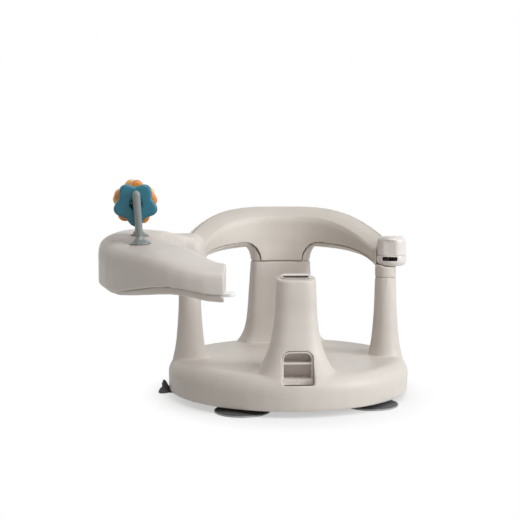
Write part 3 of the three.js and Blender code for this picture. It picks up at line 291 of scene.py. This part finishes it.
finishes = {
    "shell_plastic": moulded("shell plastic", "d0c8bf"),
    "liner_plastic": moulded("liner plastic", "d2cac0", roughness=0.44),
    "tray_plastic": moulded("tray plastic", "d2cac2", roughness=0.4),
    "cover_plastic": moulded("cover plastic", "c3bab1", roughness=0.5),
    "trim_plastic": moulded("trim plastic", "ddd5ce", roughness=0.26, grain=0.3, coat=0.2),
    "tongue_plastic": moulded("tongue plastic", "ebe9e7", roughness=0.3, grain=0.2, coat=0.3),
    # The cups' paler rim colour is painted light on the rim near the floor.
    "cup_rubber": rubber("cup rubber", "505051", rim_light_code="a9a8a6"),
    "steel": steel("plated steel", dull="a9adaf", bright="d4d6d7"),
    "dark_steel": steel("blackened steel", dull="2a2826", bright="45423f"),
}
for color, code, roughness in (("grey", "828986", 0.24), ("teal", "1b6a7c", 0.36),
                               ("orange", "e08a30", 0.36), ("yellow", "e6c070", 0.36),
                               ("red", "c5523f", 0.36)):
    finishes[f"toy_{color}_plastic"] = moulded(
        f"toy {color} plastic", code, roughness, grain=0.3, coat=0.1)
slot_of = {row["node"]: row["material_slot"] for row in frame["record"]["subparts"]}
behaviour = frame["record"]["behaviour"]
body_of = {node: body for body, nodes in behaviour["bodies"].items() for node in nodes}

# Pieces


def paint(obj, slot):
    obj.data.materials.clear()
    obj.data.materials.append(finishes[slot])


def linked(name, mesh):
    """A new object of this mesh in the scene."""
    obj = bpy.data.objects.new(name, mesh)
    bpy.context.collection.objects.link(obj)
    return obj


def reworked(mesh, change):
    """The mesh after a change to its editable form."""
    shape = bmesh.new()
    shape.from_mesh(mesh)
    change(shape)
    shape.to_mesh(mesh)
    shape.free()
    return mesh


def settled(obj, name):
    """The object with its modifiers applied, as a new plain object."""
    graph = bpy.context.evaluated_depsgraph_get()
    graph.update()
    mesh = bpy.data.meshes.new_from_object(obj.evaluated_get(graph), depsgraph=graph)
    old = obj.data
    bpy.data.objects.remove(obj)
    if old.users == 0:
        bpy.data.meshes.remove(old)
    mesh.name = name
    return linked(name, mesh)


def dress(obj, node, *others):
    """The piece replaces a node, or several of one body, rides on the body and takes the
    node's finish."""
    paint(obj, slot_of[node])
    obj.data.shade_smooth()
    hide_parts(node, *others)
    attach(obj, body_of[node])


TINY = 1e-12
FOLLOWING_ROUNDS = 20


def spread(values, ends, weights, count):
    """Adds to each point's values those of its neighbours, weighted by the edge between."""
    total = values.copy()
    for here, there in (ends, ends[::-1]):
        for axis in range(3):
            total[:, axis] += np.bincount(here, weights * values[there, axis], count)
    return total


def unit(vectors):
    return vectors / (np.linalg.norm(vectors, axis=1, keepdims=True) + TINY)


def evened(mesh, rounds, limit):
    """Takes the facets off a finely divided mesh: the normals are spread along its surface,
    hardly across edges that turn by more than limit degrees, and the points follow them."""
    count = len(mesh.vertices)
    points = np.empty(count * 3)
    normals = np.empty(count * 3)
    mesh.vertices.foreach_get("co", points)
    mesh.vertices.foreach_get("normal", normals)
    points = points.reshape(-1, 3)
    normals = normals.reshape(-1, 3)
    edges = np.empty(len(mesh.edges) * 2, dtype=np.int64)
    mesh.edges.foreach_get("vertices", edges)
    ends = (edges[0::2], edges[1::2])
    mesh.calc_loop_triangles()
    corners = np.empty(len(mesh.loop_triangles) * 3, dtype=np.int64)
    mesh.loop_triangles.foreach_get("vertices", corners)
    corners = corners.reshape(-1, 3)
    softness = 1 - math.cos(math.radians(limit))
    for _ in range(rounds):
        turned = 1 - (normals[ends[0]] * normals[ends[1]]).sum(1)
        normals = unit(spread(normals, ends, np.exp(-turned / softness), count))
    facing = unit(normals[corners].sum(1))
    around = np.bincount(corners.ravel(), minlength=count)[:, None] + TINY
    for _ in range(FOLLOWING_ROUNDS):
        middles = points[corners].mean(1)
        move = np.zeros_like(points)
        for k in range(3):
            reach = ((middles - points[corners[:, k]]) * facing).sum(1)
            for axis in range(3):
                move[:, axis] += np.bincount(corners[:, k], reach * facing[:, axis], count)
        points = points + move / around
    mesh.vertices.foreach_set("co", points.ravel())
    mesh.update()


def softened(node, voxel_mm, smoothing, share, rounds=0, limit=9.0):
    """Replaces a node by a copy with its edges rounded as moulding rounds them, its facets
    taken off and a share of its triangles kept."""
    mesh = reworked(frame["nodes"][node].data.copy(), lambda shape: bmesh.ops.remove_doubles(
        shape, verts=shape.verts, dist=0.01 * MM))
    obj = linked("copy", mesh)
    remesh = obj.modifiers.new("remesh", "REMESH")
    remesh.mode = "VOXEL"
    remesh.voxel_size = voxel_mm * MM
    smooth = obj.modifiers.new("smooth", "SMOOTH")
    smooth.factor = 0.5
    smooth.iterations = smoothing
    made = settled(obj, node + "_moulding")
    if rounds:
        evened(made.data, rounds, limit)
    made.modifiers.new("thin", "DECIMATE").ratio = share
    dress(settled(made, node + "_moulding"), node)


def screw_rule():
    """Crosshead screws with their heads down, one on each point, each turned at random."""
    r = Rule("crosshead screws")
    head = r.size("Head Radius")
    height = r.size("Head Height")
    shank = r.size("Shank Radius")
    length = r.size("Length")
    pitch = r.size("Thread Pitch")
    direction = r.size("Direction", "Vector")
    seed = r.size("Seed", "Int")
    face_taper, face_rounding, cross_length, cross_width = 0.1, 0.2, 1.25, 0.25
    thread_depth, thread_sharpness, tip_length, tip_width = 0.25, 3.0, 1.5, 0.15
    x, y, z = r.parts(r.place)

    disc = r.add("GeometryNodeMeshCylinder", None, {
        "Vertices": 32, "Side Segments": 4, "Fill Segments": 5,
        "Radius": head, "Depth": height})
    low = 0.5 - z / height
    out = (x * x + y * y) / (head * head)
    narrow = 1.0 - low * low * face_taper
    disc = r.put(disc, x * narrow, y * narrow, z + low * out * out * height * face_rounding)
    blades = []
    for long, wide in ((cross_length, cross_width), (cross_width, cross_length)):
        size = r.joined(head * long, head * wide, height)
        blade = r.add("GeometryNodeMeshCube", None, {"Size": size})
        blades.append(r.moved_up(blade, height * -0.5))
    disc = r.add("GeometryNodeMeshBoolean", {"operation": "DIFFERENCE", "solver": "EXACT"},
                 {0: disc, 1: blades})
    disc = r.moved_up(disc, height * 0.5)

    depth = length - height
    rod = r.add("GeometryNodeMeshCylinder", None, {
        "Vertices": 20, "Side Segments": 60, "Fill Segments": 1,
        "Radius": shank, "Depth": depth})
    turned = r.add("ShaderNodeMath", {"operation": "ARCTAN2"}, {0: y, 1: x})
    ridge = ((turned - z * math.tau / pitch).cosine() * 0.5 + 0.5) ** thread_sharpness
    tip = ((depth * 0.5 - z) / (shank * tip_length) + tip_width).at_most(1.0)
    girth = (ridge * thread_depth + (1.0 - thread_depth)) * tip
    rod = r.put(rod, x * girth, y * girth, z)
    rod = r.moved_up(rod, height + depth * 0.5)

    whole = r.add("GeometryNodeJoinGeometry", None, {0: [disc, rod]})
    upright = r.add("FunctionNodeAlignRotationToVector", {"axis": "Z"}, {"Vector": direction})
    placed = r.add("GeometryNodeInstanceOnPoints", None,
                   {"Points": r.geometry, "Instance": whole, "Rotation": upright})
    # Sockets 2 and 3 are the least and the most of a float, and 8 is the seed.
    chance = r.add("FunctionNodeRandomValue", {"data_type": "FLOAT"},
                   {2: 0.0, 3: math.pi, 8: seed}, output=1)
    placed = r.add("GeometryNodeRotateInstances", None,
                   {"Instances": placed, "Rotation": r.joined(0.0, 0.0, chance)})
    return r.close(placed)


def petal_rule():
    """A ring with lobes round it and rounded edges, on each point: a grid whose two directions
    run round the ring and round its section, which is a superellipse."""
    r = Rule("petals")
    lobes = r.size("Lobes")
    tip = r.size("Tip Radius")
    valley = r.size("Valley Radius")
    power = r.size("Wave Power")
    thickness = r.size("Thickness")
    bore = r.size("Bore Radius")
    edge = r.size("Edge Power")
    phase = r.size("Phase")
    grid = r.add("GeometryNodeMeshGrid", None, {
        "Size X": 1.0, "Size Y": 1.0, "Vertices X": r.size("Points Round", "Int"),
        "Vertices Y": r.size("Points Over", "Int")})
    x, y, _ = r.parts(r.place)
    angle = x * math.tau
    wave = (((angle - phase) * lobes).cosine() * 0.5 + 0.5).at_least(0.0) ** power
    half = (valley + (tip - valley) * wave - bore) * 0.5
    section = y * math.tau
    reach = bore + half + half * section.cosine().signed_power(edge)
    rise = section.sine().signed_power(edge) * thickness * 0.5
    ring = r.put(grid, reach * angle.cosine(), reach * angle.sine(), rise)
    ring = r.add("GeometryNodeMergeByDistance", None,
                 {"Geometry": ring, "Distance": 0.02 * MM})
    placed = r.add("GeometryNodeInstanceOnPoints", None,
                   {"Points": r.geometry, "Instance": ring})
    return r.close(placed)


def grown(name, rule, points, **sizes):
    """The plain mesh that a rule makes on points."""
    mesh = bpy.data.meshes.new(name)
    mesh.from_pydata(points, [], [])
    obj = linked(name, mesh)
    modifier = obj.modifiers.new("rule", "NODES")
    modifier.node_group = rule.tree
    for key, value in sizes.items():
        modifier[rule.keys[key.replace("_", " ").title()]] = value
    made = settled(obj, name)
    reworked(made.data, lambda shape: bmesh.ops.recalc_face_normals(shape, faces=shape.faces))
    return made


def long_axis(node):
    """The foot and the upward direction of a long thin node."""
    points = np.array([tuple(v.co) for v in frame["nodes"][node].data.vertices])
    points = np.unique(points.round(decimals=7), axis=0)
    middle = points.mean(0)
    direction = np.linalg.svd(points - middle)[2][0]
    direction = direction * math.copysign(1.0, direction[2])
    foot = middle + direction * ((points - middle) @ direction).min()
    return Vector(foot), Vector(direction)


def make_screws(name, nodes, head_radius, head_height):
    ends = [long_axis(node) for node in nodes]
    made = grown(name, crosshead, [tuple(foot) for foot, _ in ends],
                 head_radius=head_radius, head_height=head_height, shank_radius=1.5 * MM,
                 length=13.6 * MM, thread_pitch=1.3 * MM, direction=ends[0][1], seed=7,
                 material=finishes["steel"])
    dress(made, nodes[0], *nodes[1:])
    made.data.shade_flat()


def make_flower(color, phase):
    """A flower on the axle, its angles counted from straight down."""
    node = "toy_flower_" + color
    joint = next(j for j in behaviour["joints"] if j["child"] == color + "_flower")
    towards = -Vector(joint["axis"]).normalized()
    pivot = Vector(joint["pos_m"])
    low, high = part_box(node)
    middle = pivot + towards * ((low + high) / 2 - pivot).dot(towards)
    down = Vector((0.0, 0.0, -1.0))
    down = (down - towards * down.dot(towards)).normalized()
    made = grown(node + "_moulding", petals, [(0.0, 0.0, 0.0)], lobes=5.0,
                 tip_radius=26.4 * MM, valley_radius=20.4 * MM, wave_power=0.95,
                 thickness=13 * MM, bore_radius=5.2 * MM, edge_power=0.5, phase=phase,
                 points_round=181, points_over=61, material=finishes[slot_of[node]])
    turn = Matrix((down, towards.cross(down), towards)).transposed().to_4x4()
    made.data.transform(Matrix.Translation(middle) @ turn)
    dress(made, node)


# Of each node: voxel_mm, smoothing, share and, for the curved ones, rounds and limit.
soft_nodes = {
    "base_shell": (1.5, 3, 0.5, 80),
    "backrest_shell": (1.4, 3, 0.6, 80),
    "backrest_liner": (1.2, 3, 0.6, 110),
    "tray_upper_shell": (1.4, 3, 0.6, 90),
    "tray_cover": (1.2, 3, 0.4, 60),
    "tray_tongue": (0.5, 5, 0.5),
    "latch_housing": (0.6, 3, 0.5, 40),
    "latch_knob": (0.6, 2, 0.5, 60, 16.0),
    "latch_knob_cap": (0.5, 2, 0.5),
    "pommel_slot_bezel": (0.35, 2, 0.5),
    "pommel_window_frame": (0.5, 3, 0.5),
    "toy_post_left": (0.4, 5, 0.5),
    "toy_post_right": (0.4, 5, 0.5),
    **{f"suction_cup_{i}": (0.8, 3, 0.6, 40) for i in range(1, 6)},
}
for node, settings in soft_nodes.items():
    softened(node, *settings)
crosshead = screw_rule()
make_screws("base_screws", [f"base_screw_{i}" for i in range(1, 6)],
            head_radius=3.6 * MM, head_height=1.8 * MM)
make_screws("tray_screws", [f"tray_screw_{i}" for i in range(1, 5)],
            head_radius=3.2 * MM, head_height=0.9 * MM)
petals = petal_rule()
for color, phase in (("yellow", 0.84), ("red", 0.5), ("orange", 0.5), ("teal", 0.0)):
    make_flower(color, phase)
for obj in frame["nodes"].values():
    if not obj.hide_render:
        paint(obj, slot_of[obj.name])

# Floor, light and camera

FLOOR = -0.0085
WALLS = (1.0, 0.95, 0.91, 1.0)
WORLD_LIGHT = 0.25


def floor_finish():
    """White paper: it takes the seat's shadow close by, and is plain white further out."""
    f = Finish("paper")
    x, y, _ = f.parts(f.coordinates)
    sideways, least_white = 1.35, 0.5
    away = (x * x * sideways + y * y) ** 0.5
    camera = f.add("ShaderNodeLightPath", output="Is Camera Ray")
    glossy = f.add("ShaderNodeLightPath", output="Is Glossy Ray")
    fade = f.step(away, low=0.165, high=0.24) * (1.0 - least_white) + least_white
    seen = fade * (camera + glossy).clamped()
    paper = f.add("ShaderNodeBsdfDiffuse", None, {"Color": (0.87, 0.865, 0.86, 1.0)})
    plain = f.add("ShaderNodeEmission", None, {"Color": WHITE, "Strength": 1.0})
    return f.close(f.add("ShaderNodeMixShader", None, {0: seen, 1: paper, 2: plain}))


def make_floor():
    mesh = reworked(bpy.data.meshes.new("paper_floor"), lambda shape: bmesh.ops.create_circle(
        shape, cap_ends=True, segments=96, radius=14.0,
        matrix=Matrix.Translation((0.0, 0.0, FLOOR))))
    obj = linked("paper_floor", mesh)
    mesh.materials.append(floor_finish())


def softbox(name, place, target, size, power, color):
    lamp = bpy.data.lights.new(name, "AREA")
    lamp.shape = "DISK"
    lamp.size = size
    lamp.energy = power
    lamp.color = color
    obj = linked(name, lamp)
    obj.location = place
    aim = Vector(target) - Vector(place)
    obj.rotation_euler = aim.to_track_quat("-Z", "Y").to_euler()


def make_light():
    """Warm walls that camera and gloss see as white, and two cool softboxes."""
    world = bpy.data.worlds.new("studio")
    bpy.context.scene.world = world
    world.use_nodes = True
    tree = world.node_tree
    tree.nodes.clear()
    path = tree.nodes.new("ShaderNodeLightPath")
    seen = tree.nodes.new("ShaderNodeMath")
    seen.operation = "MAXIMUM"
    tree.links.new(path.outputs["Is Camera Ray"], seen.inputs[0])
    tree.links.new(path.outputs["Is Glossy Ray"], seen.inputs[1])
    both = tree.nodes.new("ShaderNodeMixShader")
    tree.links.new(seen.outputs[0], both.inputs[0])
    for slot, color, strength in ((1, WALLS, WORLD_LIGHT), (2, WHITE, 1.0)):
        sky = tree.nodes.new("ShaderNodeBackground")
        sky.inputs["Color"].default_value = color
        sky.inputs["Strength"].default_value = strength
        tree.links.new(sky.outputs[0], both.inputs[slot])
    out = tree.nodes.new("ShaderNodeOutputWorld")
    tree.links.new(both.outputs[0], out.inputs["Surface"])
    softbox("right softbox", place=(1.9, -1.1, 0.9), target=(0.0, 0.0, 0.12),
            size=0.9, power=30.0, color=(0.955, 1.0, 1.05))
    softbox("top softbox", place=(0.4, -0.85, 2.0), target=(0.0, 0.0, 0.1),
            size=1.2, power=18.5, color=(0.98, 1.0, 1.02))


def make_camera():
    """The photograph's camera, as solved from the base's ellipses and the posts."""
    downwards, roll, turn = (math.radians(angle) for angle in (4.35, 0.12, -3.37))
    camera = bpy.data.cameras.new("camera")
    camera.sensor_width = 36.0
    camera.lens = 68.29
    camera.clip_end = 60.0
    obj = linked("camera", camera)
    obj.location = (-0.1177, -1.3506, 0.2777)
    obj.rotation_euler = (math.radians(90) - downwards, roll, turn)
    bpy.context.scene.camera = obj


make_floor()
make_light()
make_camera()
bpy.context.scene.view_settings.view_transform = "Standard"
